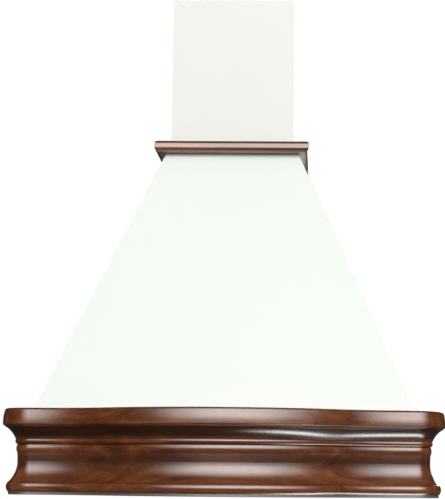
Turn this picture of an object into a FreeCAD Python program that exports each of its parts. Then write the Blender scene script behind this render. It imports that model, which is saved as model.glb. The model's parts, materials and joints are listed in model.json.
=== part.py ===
import FreeCAD, Part
import math
import os

V = FreeCAD.Vector
UP = V(0, 0, 1)
DOWN = V(0, 0, -1)
AHEAD = V(1, 0, 0)
FRONTWARD = V(0, -1, 0)
WALLWARD = V(0, 1, 0)

# Frame: +X to the viewer's right, +Y towards the wall, +Z up.
# The wall is the plane y = 0, and z = 0 is the lower edge of the wooden band.

# Wooden band and its plan, a straight run at each end and a serpentine bow between them
BAND_WIDTH = 912.0
END_DEPTH = 450.0
BOW_DEPTH = 104.0
BOW_HALF_SPAN = 392.0
BOW_NOSE_RADIUS = 480.0
BASE_TOP = 96.5
BED_TOP = 135.0
LIP_THICKNESS = 35.0
CORNER_RADIUS = 60.0
LIP_SIDE_WIDTH = 84.0
BAND_BACK_INSET = 54.0
MITRE_REACH = 200.0

# Base moulding profile, x is the inset from the lip's face
GROOVE_INSET = 31.5
BASE_COVE_RADIUS = 62.8
BASE_COVE_MID_Z = 42.0
BASE_WAIST = V(31.5, 0, 62.0)
BASE_QUIRK = V(13.4, 0, 19.6)
BASE_TORUS_START = V(12.2, 0, 18.8)
BASE_TORUS_NOSE = V(9.2, 0, 10.0)
BASE_FOOT = V(13.0, 0, 0)
LOW_BEAD_FOOT = V(30.8, 0, 79.5)
LOW_BEAD_NOSE = V(28.5, 0, 88.0)
LOW_BEAD_HEAD = V(30.0, 0, 95.7)

# Bed moulding profile
TOP_BEAD_FOOT = V(29.6, 0, 97.3)
TOP_BEAD_NOSE = V(26.2, 0, 102.4)
TOP_BEAD_HEAD = V(27.4, 0, 107.6)
BED_COVE_FOOT = V(26.2, 0, 108.6)
BED_COVE_MID = V(18.2, 0, 122.0)
BED_COVE_HEAD = V(4.0, 0, 133.5)

# Lip profile, a slightly crowned face under a rounded top
LIP_EDGE_DEPTH = 20.0
LIP_FOOT = V(3.2, 0, BED_TOP)
LIP_FOOT_MID = V(1.0, 0, 136.0)
LIP_FACE_FOOT = V(0, 0, 138.4)
LIP_FACE_MID = V(0.5, 0, 152.0)
LIP_FACE_HEAD = V(3.1, 0, 165.0)
LIP_CROWN_MID = V(5.0, 0, 168.4)
LIP_CROWN = V(8.6, 0, BED_TOP + LIP_THICKNESS)

# Corner blocks and rear rail inside the band
BLOCK_LEG = 34.0
BLOCK_FOOT = 2.0
RAIL_THICKNESS = 22.0
RAIL_DROP = 6.0

# Steel dome
STEEL = 1.2
DOME_SIDE_LEDGE = 64.0
DOME_FRONT_LEDGE = 54.0
DOME_SIDE_MARGIN = 11.0
DOME_FRONT_MARGIN = 4.0
DOME_TOP_Z = 744.0
FLANGE = 15.0
SEAM_LEG = 20.0
SHELF_BACK = 20.0

# Collar board round the foot of the chimney
COLLAR_THICKNESS = 24.0
COLLAR_OVERHANG = 34.5
COLLAR_LEDGE = 15.0
COLLAR_NOSE = 9.0

# Telescopic chimney
CHIMNEY_HALF = 135.5
CHIMNEY_DEPTH = 224.0
CHIMNEY_TOP = 1094.0
CHIMNEY_PLAY = 0.6
CHIMNEY_FLANGE = 14.0
UPPER_TOP_DROP = 4.0
BRACKET_PLAY = 0.3
BRACKET_HALF = 110.0
BRACKET_DROP = 40.0
BRACKET_HEIGHT = 26.0
BRACKET_DEPTH = 30.0
BRACKET_SCREW_HALF = 60.0

# Steel frame that hangs on the wall
FRAME_STEEL = 2.5
FRAME_PLAY = 0.3
FRAME_LOW_Z = 190.0
FRAME_HEAD_DROP = 31.0
FRAME_BAR = 36.0
UPRIGHT_HALF = 95.0
HANG_SCREW_HALF = 95.0
HANG_SCREW_LOW = 240.0
HANG_SCREW_RISE = 450.0
HANG_HOLE_RADIUS = 4.0

# Under tray and the plenum over its filters
TRAY_SHEET = 1.0
TRAY_INSET = 14.0
TRAY_RIM = 6.0
FILTER_HALF_SPAN = 270.0
FILTER_BACK = 85.0
PLENUM_ROOM = 11.0
PLENUM_TOP = 110.0
PLENUM_HOLE_HALF = 150.0
PLENUM_HOLE_BACK = 10.0
PLENUM_HOLE_FRONT = 12.0

# Motor box, fan and outlet
BOX_HALF = 170.0
BOX_BACK = 38.0
BOX_FRONT = 305.0
BOX_TOP = 385.0
STRAP_LAP = 112.0
STRAP_FOOT = 30.0
STRAP_MARGIN = 4.0
FAN_Z = 236.0
SCROLL_RADIUS = 112.0
SCROLL_HALF = 92.0
SCROLL_WALL = 2.0
INLET_RADIUS = 76.0
OUTLET_Y = -125.0
NECK_HALF = 72.0
SPIGOT_RADIUS = 74.5
SPIGOT_WALL = 1.5
SPIGOT_TOP = 445.0
SPIGOT_FLANGE = 85.0
FLAP_Z = 425.0
FLAP_PLAY = 0.8
FLAP_THICKNESS = 1.2
FLAP_OFFSET = 4.0
PIVOT_RADIUS = 1.5
PIVOT_CLEARANCE = 0.05
IMPELLER_RADIUS = 84.0
IMPELLER_HALF = 80.0
BLADE_COUNT = 36
BLADE_DEPTH = 14.0
BLADE_THICKNESS = 1.0
MOTOR_RADIUS = 42.0
MOTOR_LENGTH = 76.0
SHAFT_START = -60.0
HUB_X = 6.0
HUB_LENGTH = 16.0
HUB_RADIUS = 12.0
SHAFT_RADIUS = 4.0
SHAFT_CLEARANCE = 0.05

# Grease filters
FILTER_FRAME = 9.0
FILTER_EDGE = 14.0
FILTER_GAP = 1.0
FILTER_BACK_GAP = 3.0
FILTER_AXIS_BACK = 12.0
FILTER_ROD_RADIUS = 1.5
FILTER_ROD_CLEARANCE = 0.05
MESH_INSET = 3.0
MESH_THICKNESS = 1.6
LATCH_HALF = 23.0
LATCH_DEPTH = 22.0
LATCH_GRIP = 3.7
LATCH_STEM_HALF = 11.7
LATCH_STEM_DEPTH = 7.4
LATCH_TRAVEL = 6.0
LATCH_PLAY = 0.3
LATCH_TONGUE = 2.0

# Lamps, control panel and terminal box
LAMP_X = 150.0
LAMP_SETBACK = 22.0
LAMP_RADIUS = 27.0
LAMP_BEZEL = 32.0
LAMP_HEIGHT = 30.0
LENS_THICKNESS = 2.5
PANEL_HALF = 62.0
PANEL_DEPTH = 26.0
PANEL_SETBACK = 18.0
PANEL_LEDGE = 4.0
PANEL_HEIGHT = 12.0
BUTTON_RADIUS = 7.0
BUTTON_PITCH = 28.0
BUTTON_CLEARANCE = 0.25
BUTTON_PROUD = 2.5
TERMINAL_SIZE = V(90.0, 46.0, 34.0)
TERMINAL_GAP = 6.0
TERMINAL_SETBACK = 60.0
TERMINAL_WALL = 2.0
GLAND_RADIUS = 8.0
GLAND_BORE = 4.2
GLAND_LENGTH = 18.0

# Screws
SCREW_RADIUS = 2.0
SCREW_LENGTH = 16.0
SCREW_HEAD_RADIUS = 4.2
SCREW_HEAD_HEIGHT = 2.2

# Values that follow from the ones above
HALF_WIDTH = BAND_WIDTH / 2
LIP_TOP = BED_TOP + LIP_THICKNESS
COLLAR_TOP = DOME_TOP_Z + COLLAR_THICKNESS
BOW_RADII = (BOW_HALF_SPAN ** 2 + BOW_DEPTH ** 2) / (2 * BOW_DEPTH)
BOW_COVE_RADIUS = BOW_RADII - BOW_NOSE_RADIUS
BOW_TURN = math.degrees(math.asin(BOW_HALF_SPAN / BOW_RADII))
DOME_HALF_FOOT = HALF_WIDTH - DOME_SIDE_LEDGE
DOME_FOOT_DEPTH = END_DEPTH - DOME_FRONT_LEDGE
DOME_HALF_TOP = CHIMNEY_HALF + DOME_SIDE_MARGIN
DOME_TOP_DEPTH = CHIMNEY_DEPTH + DOME_FRONT_MARGIN
COLLAR_HALF = CHIMNEY_HALF + COLLAR_OVERHANG
COLLAR_DEPTH = CHIMNEY_DEPTH + COLLAR_OVERHANG
COLLAR_OPENING_HALF = CHIMNEY_HALF - COLLAR_LEDGE
COLLAR_OPENING_DEPTH = CHIMNEY_DEPTH - COLLAR_LEDGE
BRACKET_Z = CHIMNEY_TOP - UPPER_TOP_DROP - BRACKET_DROP
FRAME_TOP_Z = DOME_TOP_Z - FRAME_HEAD_DROP
FILTER_FRONT = END_DEPTH - BAND_BACK_INSET - PLENUM_ROOM
LAMP_Y = -END_DEPTH + LAMP_SETBACK
PANEL_Y = -END_DEPTH + PANEL_SETBACK
FAR = 2 * BAND_WIDTH
INNER_HALF = HALF_WIDTH - BAND_BACK_INSET
FAN_Y = OUTLET_Y + NECK_HALF - SCROLL_RADIUS
FILTER_AXIS_Y = -FILTER_BACK - FILTER_AXIS_BACK
FILTER_AXIS_Z = FILTER_FRAME / 2 - TRAY_SHEET
DOME_RISE = DOME_TOP_Z - LIP_TOP


def box(x0, x1, y0, y1, z0, z1):
    """Block between two opposite corners."""
    return Part.makeBox(x1 - x0, y1 - y0, z1 - z0, V(x0, y0, z0))


def rod(radius, start, along, length):
    """Round bar from a point along a direction."""
    return Part.makeCylinder(radius, length, start, along)


def tube(outer, inner, start, along, length):
    """Round tube from a point along a direction."""
    return rod(outer, start, along, length).cut(rod(inner, start, along, length))


def prism(points, z0, z1):
    """Upright prism on a plan polygon."""
    corners = [V(x, y, z0) for x, y in points]
    wire = Part.makePolygon(corners + corners[:1])
    return Part.Face(wire).extrude(V(0, 0, z1 - z0))


def join(shapes):
    """One clean solid from touching ones."""
    whole = shapes[0]
    if len(shapes) > 1:
        whole = shapes[0].fuse(shapes[1:])
    return whole.removeSplitter()


def mirrored(shape):
    """The same piece on the other side of the centre line."""
    return shape.mirror(V(0, 0, 0), AHEAD)


def save(name, shape):
    """Write one named piece."""
    if not shape.isValid():
        print("not valid:", name)
    shape.exportStep("parts/" + name + ".step")


# ---- plan of the bow ----

def bow_points(inset):
    """Points on the front line, set in from the lip's face, with the middle of each arc."""
    end_y = -END_DEPTH + inset
    cove = BOW_COVE_RADIUS + inset
    nose = BOW_NOSE_RADIUS - inset
    cove_y = -END_DEPTH - BOW_COVE_RADIUS
    nose_y = -END_DEPTH - BOW_DEPTH + BOW_NOSE_RADIUS
    turn = math.radians(BOW_TURN)
    flat_end = V(-BOW_HALF_SPAN, end_y, 0)
    cove_mid = V(-BOW_HALF_SPAN + cove * math.sin(turn / 2), cove_y + cove * math.cos(turn / 2), 0)
    change = V(-BOW_HALF_SPAN + cove * math.sin(turn), cove_y + cove * math.cos(turn), 0)
    apex = V(0, nose_y - nose, 0)
    return flat_end, cove_mid, change, apex


def corner_points(inset):
    """Ends and middle of the rounded left front corner, from the side to the front."""
    axis = V(CORNER_RADIUS - HALF_WIDTH, CORNER_RADIUS - END_DEPTH, 0)
    radius = CORNER_RADIUS - inset
    lean = radius * math.sqrt(0.5)
    return axis - V(radius, 0, 0), axis - V(lean, lean, 0), axis - V(0, radius, 0)


def bow_edges(inset):
    """Edges of the front line from one rounded corner to the other."""
    flat_end, cove_mid, change, apex = bow_points(inset)
    side, middle, start = corner_points(inset)

    def other(point):
        return V(-point.x, point.y, 0)

    return [
        Part.Arc(side, middle, start).toShape(),
        Part.LineSegment(start, flat_end).toShape(),
        Part.Arc(flat_end, cove_mid, change).toShape(),
        Part.Arc(change, apex, other(change)).toShape(),
        Part.Arc(other(change), other(cove_mid), other(flat_end)).toShape(),
        Part.LineSegment(other(flat_end), other(start)).toShape(),
        Part.Arc(other(start), other(middle), other(side)).toShape(),
    ]


def plan_slab(inset, back_y, z0, z1):
    """Slab with the bowed front line, straight sides and a straight back."""
    half = HALF_WIDTH - inset
    front = bow_edges(inset)
    left = corner_points(inset)[0]
    right = V(half, left.y, 0)
    sides = [
        Part.LineSegment(right, V(half, back_y, 0)).toShape(),
        Part.LineSegment(V(half, back_y, 0), V(-half, back_y, 0)).toShape(),
        Part.LineSegment(V(-half, back_y, 0), left).toShape(),
    ]
    face = Part.Face(Part.Wire(front + sides))
    face.translate(V(0, 0, z0))
    return face.extrude(V(0, 0, z1 - z0))


def mitre_wedge(half, depth, reach):
    """Plan wedge that holds a front piece between its two mitred corners."""
    meet = half - depth
    far = half + reach
    points = [(0, meet), (-far, -depth - reach), (-far, -depth - 3 * reach)]
    points += [(far, -depth - 3 * reach), (far, -depth - reach)]
    return prism(points, -reach, CHIMNEY_TOP)


def left_room():
    """The room left of the middle, as high as the wooden band."""
    return box(-HALF_WIDTH, 0, -END_DEPTH, 0, 0, LIP_TOP)


def profile_face(edges, origin, heading):
    """Moulding profile, drawn with x as the inset, stood across the run at one point."""
    face = Part.Face(Part.Wire(edges))
    face.rotate(V(0, 0, 0), UP, 90 + heading)
    face.translate(origin)
    return face


def sweep_round(edges):
    """Moulding run along the sides, the rounded corners and the bowed front."""
    flat_end, cove_mid, change, apex = bow_points(0)
    cove_axis = V(-BOW_HALF_SPAN, -END_DEPTH - BOW_COVE_RADIUS, 0)
    nose_axis = V(0, -END_DEPTH - BOW_DEPTH + BOW_NOSE_RADIUS, 0)
    side_end, middle, start = corner_points(0)
    corner_axis = V(start.x, side_end.y, 0)
    side = profile_face(edges, V(side_end.x, 0, 0), -90).extrude(V(0, side_end.y, 0))
    corner = profile_face(edges, start, 0).revolve(corner_axis, DOWN, 90)
    straight = profile_face(edges, start, 0).extrude(V(flat_end.x - start.x, 0, 0))
    cove = profile_face(edges, flat_end, 0).revolve(cove_axis, DOWN, BOW_TURN)
    nose = profile_face(edges, change, -BOW_TURN).revolve(nose_axis, UP, BOW_TURN)
    half = [side, corner, straight, cove, nose]
    return join(half + [mirrored(piece) for piece in half])


def moulding(edges):
    """Front, left and right lengths of one moulding, mitred at the corners."""
    wedge = mitre_wedge(HALF_WIDTH, END_DEPTH, MITRE_REACH)
    run = sweep_round(edges)
    left = run.cut(wedge).common(left_room())
    return run.common(wedge), left, mirrored(left)


def line(a, b):
    return Part.LineSegment(a, b).toShape()


def arc(a, b, c):
    return Part.Arc(a, b, c).toShape()


def base_profile():
    """Torus foot, long cove, waist and the lower bead of the band."""
    axis_x = BASE_WAIST.x - BASE_COVE_RADIUS
    rise = BASE_WAIST.z - BASE_COVE_MID_Z
    mid = V(axis_x + math.sqrt(BASE_COVE_RADIUS ** 2 - rise ** 2), 0, BASE_COVE_MID_Z)
    top = V(GROOVE_INSET, 0, BASE_TOP)
    back_top = V(BAND_BACK_INSET, 0, BASE_TOP)
    back_foot = V(BAND_BACK_INSET, 0, 0)
    return [
        line(back_foot, BASE_FOOT),
        arc(BASE_FOOT, BASE_TORUS_NOSE, BASE_TORUS_START),
        line(BASE_TORUS_START, BASE_QUIRK),
        arc(BASE_QUIRK, mid, BASE_WAIST),
        line(BASE_WAIST, LOW_BEAD_FOOT),
        arc(LOW_BEAD_FOOT, LOW_BEAD_NOSE, LOW_BEAD_HEAD),
        line(LOW_BEAD_HEAD, top),
        line(top, back_top),
        line(back_top, back_foot),
    ]


def bed_profile():
    """Upper bead and the cove that carries the lip."""
    foot = V(GROOVE_INSET, 0, BASE_TOP)
    top = V(BED_COVE_HEAD.x, 0, BED_TOP)
    back_top = V(BAND_BACK_INSET, 0, BED_TOP)
    back_foot = V(BAND_BACK_INSET, 0, BASE_TOP)
    return [
        line(back_foot, foot),
        line(foot, TOP_BEAD_FOOT),
        arc(TOP_BEAD_FOOT, TOP_BEAD_NOSE, TOP_BEAD_HEAD),
        line(TOP_BEAD_HEAD, BED_COVE_FOOT),
        arc(BED_COVE_FOOT, BED_COVE_MID, BED_COVE_HEAD),
        line(BED_COVE_HEAD, top),
        line(top, back_top),
        line(back_top, back_foot),
    ]


def lip_profile():
    """Front edge of the lip, from its foot over the crowned face to its top."""
    back_foot = V(LIP_EDGE_DEPTH, 0, BED_TOP)
    back_top = V(LIP_EDGE_DEPTH, 0, LIP_TOP)
    return [
        line(back_foot, LIP_FOOT),
        arc(LIP_FOOT, LIP_FOOT_MID, LIP_FACE_FOOT),
        arc(LIP_FACE_FOOT, LIP_FACE_MID, LIP_FACE_HEAD),
        arc(LIP_FACE_HEAD, LIP_CROWN_MID, LIP_CROWN),
        line(LIP_CROWN, back_top),
        line(back_top, back_foot),
    ]


# ---- wooden pieces ----

def make_lip():
    """Bowed top board, cut to its three lengths at the mitres."""
    core = plan_slab(LIP_EDGE_DEPTH, 0, BED_TOP, LIP_TOP)
    slab = sweep_round(lip_profile()).fuse(core).removeSplitter()
    inner = HALF_WIDTH - LIP_SIDE_WIDTH
    slab = slab.cut(box(-inner, inner, -DOME_FOOT_DEPTH + SHELF_BACK, 1, BED_TOP - 1, LIP_TOP + 1))
    wedge = mitre_wedge(HALF_WIDTH, END_DEPTH, MITRE_REACH)
    front = slab.common(wedge)
    left = slab.cut(wedge).common(left_room())
    return front, left, mirrored(left)


def make_corner_blocks():
    """Glue blocks in the two front corners of the band."""
    x = -INNER_HALF
    y = -END_DEPTH + BAND_BACK_INSET
    ease = CORNER_RADIUS - BAND_BACK_INSET
    points = [(x + ease, y), (x + BLOCK_LEG, y), (x, y + BLOCK_LEG), (x, y + ease)]
    block = prism(points, BLOCK_FOOT, BED_TOP)
    return Part.makeCompound([block, mirrored(block)])


def make_rear_rail():
    """Board that closes the back of the band and lies against the wall."""
    return box(-INNER_HALF, INNER_HALF, -RAIL_THICKNESS, 0, -RAIL_DROP, BASE_TOP)


def make_collar():
    """Bullnosed board round the chimney, cut to its three lengths at the mitres."""
    low = DOME_TOP_Z
    board = box(-COLLAR_HALF, COLLAR_HALF, -COLLAR_DEPTH, 0, low, COLLAR_TOP)
    edges = []
    for edge in board.Edges:
        bounds = edge.BoundBox
        upright = bounds.ZMax - bounds.ZMin > 1.0
        if not upright and bounds.YMin < -1.0:
            edges.append(edge)
    board = board.makeFillet(COLLAR_NOSE, edges)
    half = COLLAR_OPENING_HALF
    board = board.cut(box(-half, half, -COLLAR_OPENING_DEPTH, 1, low - 1, COLLAR_TOP + 1))
    meet = COLLAR_HALF - COLLAR_DEPTH
    far = COLLAR_HALF + MITRE_REACH
    points = [(0, meet), (-far, -COLLAR_DEPTH - MITRE_REACH), (far, -COLLAR_DEPTH - MITRE_REACH)]
    wedge = prism(points, low - 1, COLLAR_TOP + 1)
    front = board.common(wedge)
    left = board.cut(wedge).common(box(-COLLAR_HALF, 0, -COLLAR_DEPTH, 0, low - 1, COLLAR_TOP + 1))
    return front, left, mirrored(left)


# ---- steel dome ----

def dome_half(z):
    """Half the dome's width at a height."""
    return DOME_HALF_FOOT + (DOME_HALF_TOP - DOME_HALF_FOOT) * (z - LIP_TOP) / DOME_RISE


def dome_depth(z):
    """The dome's reach from the wall at a height."""
    return DOME_FOOT_DEPTH + (DOME_TOP_DEPTH - DOME_FOOT_DEPTH) * (z - LIP_TOP) / DOME_RISE


def six_sided(low, high):
    """Solid between a lower and an upper ring of four corners."""
    rings = [low, high]
    for k in range(4):
        j = (k + 1) % 4
        rings.append([low[k], low[j], high[j], high[k]])
    faces = [Part.Face(Part.makePolygon(ring + ring[:1])) for ring in rings]
    return Part.Solid(Part.Shell(faces))


def frustum(inset, z0, z1):
    """Solid with the dome's outer planes, moved in by the same amount at every height."""
    rings = []
    for z in (z0, z1):
        half = dome_half(z) - inset
        depth = dome_depth(z) - inset
        back = 0.0 if inset == 0 else 5.0
        rings.append([V(-half, -depth, z), V(half, -depth, z), V(half, back, z), V(-half, back, z)])
    return six_sided(rings[0], rings[1])


def front_zone(inset):
    """Everything ahead of the dome's front plane moved in by an amount."""
    low = LIP_TOP - FLANGE
    high = DOME_TOP_Z + FLANGE
    corners = [V(-FAR, inset - dome_depth(low), low), V(-FAR, inset - dome_depth(high), high)]
    corners += [V(-FAR, -FAR, high), V(-FAR, -FAR, low)]
    return Part.Face(Part.makePolygon(corners + corners[:1])).extrude(V(2 * FAR, 0, 0))


def flange_ring(z0, z1, width):
    """Flat inward flange just inside the dome's skin."""
    inside = frustum(STEEL, z0, z1)
    return inside.cut(frustum(STEEL + width, z0 - 1, z1 + 1))


def make_dome():
    """Front and side panels with their flanges."""
    shell = frustum(0, LIP_TOP, DOME_TOP_Z).cut(frustum(STEEL, LIP_TOP - 5, DOME_TOP_Z + 5))
    ahead = front_zone(STEEL)
    foot = flange_ring(LIP_TOP, LIP_TOP + STEEL, FLANGE)
    head = flange_ring(DOME_TOP_Z - STEEL, DOME_TOP_Z, FLANGE)
    room = box(-FAR, FAR, -FAR, 0, 0, DOME_TOP_Z + FLANGE)
    flange_ahead = front_zone(STEEL + FLANGE)
    front = join([
        shell.common(ahead),
        foot.common(flange_ahead).common(room),
        head.common(flange_ahead).common(room),
    ])
    behind = shell.cut(ahead)
    left_half = box(-FAR, 0, -FAR, 0, 0, DOME_TOP_Z + FLANGE)
    back_flange = frustum(STEEL, LIP_TOP, DOME_TOP_Z).common(box(-FAR, FAR, -STEEL, 0, 0, DOME_TOP_Z))
    back_flange = back_flange.cut(frustum(STEEL + FLANGE, LIP_TOP - 5, DOME_TOP_Z + 5))
    side_foot = foot.cut(flange_ahead).common(left_half)
    side_head = head.cut(flange_ahead).common(left_half)
    left = join([behind.common(left_half), side_foot, side_head, back_flange.common(left_half)])
    return front, left, mirrored(left)


def make_dome_seams():
    """Angle strips riveted inside the two front corners of the dome."""
    low = LIP_TOP + STEEL + 1.0
    high = DOME_TOP_Z - STEEL - 1.0
    skin = frustum(STEEL, low, high).cut(frustum(2 * STEEL, low - 5, high + 5))
    leg = SEAM_LEG
    squares = []
    for z in (low, high):
        near = V(-dome_half(z), -dome_depth(z), z)
        squares.append([near, near + V(leg, 0, 0), near + V(leg, leg, 0), near + V(0, leg, 0)])
    strip = skin.common(six_sided(squares[0], squares[1]))
    return Part.makeCompound([strip, mirrored(strip)])


# ---- chimney and wall fittings ----

def sleeve(half, depth, flange, back_y, z0, z1):
    """Folded sheet sleeve, open at the wall apart from two short flanges."""
    whole = box(-half, half, -depth, back_y, z0, z1)
    hollow = box(-half + STEEL, half - STEEL, -depth + STEEL, back_y - STEEL, z0 - 1, z1 + 1)
    slot = box(-half + STEEL + flange, half - STEEL - flange, -2 * STEEL + back_y, 1, z0 - 1, z1 + 1)
    return whole.cut(hollow).cut(slot)


def make_chimney():
    """Lower sleeve on the collar and the sleeve that slides up inside it."""
    lower = sleeve(CHIMNEY_HALF, CHIMNEY_DEPTH, CHIMNEY_FLANGE, 0, COLLAR_TOP, CHIMNEY_TOP)
    step = STEEL + CHIMNEY_PLAY
    upper = sleeve(
        CHIMNEY_HALF - step,
        CHIMNEY_DEPTH - step,
        CHIMNEY_FLANGE - CHIMNEY_PLAY,
        -step,
        COLLAR_TOP,
        CHIMNEY_TOP - UPPER_TOP_DROP,
    )
    return lower, upper


def make_chimney_bracket():
    """Folded wall bracket inside the head of the chimney."""
    low = BRACKET_Z
    high = BRACKET_Z + BRACKET_HEIGHT
    back = box(-BRACKET_HALF, BRACKET_HALF, -STEEL, 0, low, high)
    reach = CHIMNEY_HALF - 2 * STEEL - CHIMNEY_PLAY - BRACKET_PLAY
    arm = box(-BRACKET_HALF, -BRACKET_HALF + STEEL, -BRACKET_DEPTH, 0, low, high)
    ear = box(-reach, -BRACKET_HALF, -BRACKET_DEPTH, -BRACKET_DEPTH + STEEL, low, high)
    plate = join([back, arm, ear, mirrored(arm), mirrored(ear)])
    for x in (-BRACKET_SCREW_HALF, BRACKET_SCREW_HALF):
        plate = plate.cut(rod(HANG_HOLE_RADIUS, V(x, 1, low + BRACKET_HEIGHT / 2), FRONTWARD, 9))
    return plate


def make_wall_frame():
    """Flat steel frame on the wall that carries the dome and the extractor."""
    t = FRAME_STEEL
    bars = []
    for low in (FRAME_LOW_Z, FRAME_TOP_Z - FRAME_BAR):
        half = dome_half(low + FRAME_BAR) - STEEL - FLANGE - FRAME_PLAY
        bars.append(box(-half, half, -t, 0, low, low + FRAME_BAR))
    for x in (-UPRIGHT_HALF, UPRIGHT_HALF):
        bars.append(box(x - FRAME_BAR / 2, x + FRAME_BAR / 2, -t, 0, FRAME_LOW_Z, FRAME_TOP_Z))
    frame = join(bars)
    for x in (-HANG_SCREW_HALF, HANG_SCREW_HALF):
        for z in (HANG_SCREW_LOW, HANG_SCREW_LOW + HANG_SCREW_RISE):
            frame = frame.cut(rod(HANG_HOLE_RADIUS, V(x, 1, z), FRONTWARD, 2 * t + 2))
    return frame


# ---- under tray, plenum and motor box ----

def screw_places():
    """Plan points of the tray screws, under the band."""
    inset = (BAND_BACK_INSET + TRAY_INSET) / 2
    side = HALF_WIDTH - inset
    front = -END_DEPTH + inset
    near_wall = -END_DEPTH / 5
    near_front = -END_DEPTH * 3 / 4
    nose = front - BOW_DEPTH * 0.96
    middle = BOW_HALF_SPAN / 6
    places = []
    for hand in (-1, 1):
        places.append((hand * side, near_wall))
        places.append((hand * side, near_front))
        places.append((hand * BOW_HALF_SPAN, front))
        places.append((hand * middle, nose))
    return places


def make_screw(x, y, z, heading):
    """Pan-head screw with its head's seat at z, driven up or down."""
    shank = rod(SCREW_RADIUS, V(x, y, z), heading, SCREW_LENGTH)
    head = rod(SCREW_HEAD_RADIUS, V(x, y, z), heading * -1, SCREW_HEAD_HEIGHT)
    return join([shank, head])


def make_tray_screws():
    """Screws that hold the tray to the band."""
    return Part.makeCompound([make_screw(x, y, -TRAY_SHEET, UP) for x, y in screw_places()])


def pilot_holes(wood):
    """Holes in a wooden length for the tray screws."""
    for x, y in screw_places():
        wood = wood.cut(rod(SCREW_RADIUS, V(x, y, -TRAY_SHEET), UP, SCREW_LENGTH))
    return wood


def dome_screw_places():
    """Plan points of the screws through the dome's foot flange."""
    side = DOME_HALF_FOOT - STEEL - FLANGE / 2 - 1.0
    front = -DOME_FOOT_DEPTH + STEEL + FLANGE / 2 + 1.0
    places = []
    for hand in (-1, 1):
        places.append((hand * side, -DOME_FOOT_DEPTH / 5))
        places.append((hand * side, -DOME_FOOT_DEPTH * 3 / 4))
        places.append((hand * DOME_HALF_FOOT * 0.6, front))
    return places


def make_dome_screws():
    """Screws that hold the dome's foot flange to the lip."""
    seat = LIP_TOP + STEEL
    return Part.makeCompound([make_screw(x, y, seat, DOWN) for x, y in dome_screw_places()])


def dome_screw_holes(piece):
    """Holes for the flange screws in a panel or a lip length."""
    for x, y in dome_screw_places():
        piece = piece.cut(rod(SCREW_RADIUS, V(x, y, LIP_TOP + STEEL), DOWN, SCREW_LENGTH))
    return piece


def make_tray():
    """Steel sheet under the band, its rim turned down, with its openings."""
    back = -RAIL_THICKNESS
    whole = plan_slab(TRAY_INSET, back, -TRAY_RIM, 0)
    under = plan_slab(TRAY_INSET + TRAY_SHEET, back - TRAY_SHEET, -TRAY_RIM - 1, -TRAY_SHEET)
    tray = whole.cut(under)
    tray = tray.cut(box(-FILTER_HALF_SPAN, FILTER_HALF_SPAN, -FILTER_FRONT, -FILTER_BACK, -2, 1))
    for x in (-LAMP_X, LAMP_X):
        tray = tray.cut(rod(LAMP_RADIUS, V(x, LAMP_Y, -3), UP, 5))
    half = PANEL_HALF - PANEL_LEDGE
    depth = PANEL_DEPTH / 2 - PANEL_LEDGE
    tray = tray.cut(box(-half, half, PANEL_Y - depth, PANEL_Y + depth, -3, 1))
    for x, y in screw_places():
        tray = tray.cut(rod(SCREW_RADIUS, V(x, y, -3), UP, 5))
    return tray


def make_plenum():
    """Sheet box over the filters, open below, with the hole up to the motor box."""
    t = TRAY_SHEET
    half = FILTER_HALF_SPAN + t
    front = -FILTER_FRONT - t
    back = -FILTER_BACK + t
    shell = box(-half, half, front, back, 0, PLENUM_TOP)
    shell = shell.cut(box(-half + t, half - t, front + t, back - t, -1, PLENUM_TOP - t))
    hole = PLENUM_HOLE_HALF
    hole_front = -BOX_FRONT + PLENUM_HOLE_FRONT
    hole_back = -FILTER_BACK - PLENUM_HOLE_BACK
    shell = shell.cut(box(-hole, hole, hole_front, hole_back, PLENUM_TOP - 2 * t, PLENUM_TOP + t))
    axis = V(-half - 1, FILTER_AXIS_Y, FILTER_AXIS_Z)
    return shell.cut(rod(FILTER_ROD_RADIUS, axis, AHEAD, 2 * half + 2))


def make_motor_box():
    """Sheet box that houses the fan, open below, with the round outlet hole."""
    t = TRAY_SHEET
    shell = box(-BOX_HALF, BOX_HALF, -BOX_FRONT, -BOX_BACK, PLENUM_TOP, BOX_TOP)
    room = box(-BOX_HALF + t, BOX_HALF - t, -BOX_FRONT + t, -BOX_BACK - t, PLENUM_TOP - 1, BOX_TOP - t)
    shell = shell.cut(room)
    return shell.cut(rod(SPIGOT_RADIUS - SPIGOT_WALL, V(0, OUTLET_Y, BOX_TOP - 3), UP, 6))


def make_hang_strap():
    """Strap from the wall frame's foot bar forward to the motor box."""
    t = FRAME_STEEL
    low = FRAME_LOW_Z + STRAP_MARGIN
    high = FRAME_LOW_Z + FRAME_BAR - STRAP_MARGIN
    strap = box(-BOX_HALF - t, -BOX_HALF, -BOX_BACK - STRAP_LAP, -t, low, high)
    foot = box(-BOX_HALF - STRAP_FOOT, -BOX_HALF, -2 * t, -t, low, high)
    piece = join([strap, foot])
    return Part.makeCompound([piece, mirrored(piece)])


# ---- fan ----

def make_scroll():
    """Snail housing with an inlet each side and a square neck up to the outlet."""
    centre = V(-SCROLL_HALF, FAN_Y, FAN_Z)
    neck_top = BOX_TOP - TRAY_SHEET
    drum = rod(SCROLL_RADIUS, centre, AHEAD, 2 * SCROLL_HALF)
    neck = box(-NECK_HALF, NECK_HALF, OUTLET_Y - NECK_HALF, OUTLET_Y + NECK_HALF, FAN_Z, neck_top)
    w = SCROLL_WALL
    room = rod(SCROLL_RADIUS - w, V(-SCROLL_HALF + w, FAN_Y, FAN_Z), AHEAD, 2 * (SCROLL_HALF - w))
    inner = NECK_HALF - w
    bore = box(-inner, inner, OUTLET_Y - inner, OUTLET_Y + inner, FAN_Z, neck_top + 1)
    housing = drum.fuse(neck).cut(room).cut(bore)
    housing = housing.cut(rod(INLET_RADIUS, V(-SCROLL_HALF - 1, FAN_Y, FAN_Z), AHEAD, 2 * SCROLL_HALF + 2))
    return join([housing] + scroll_arms())


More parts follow.
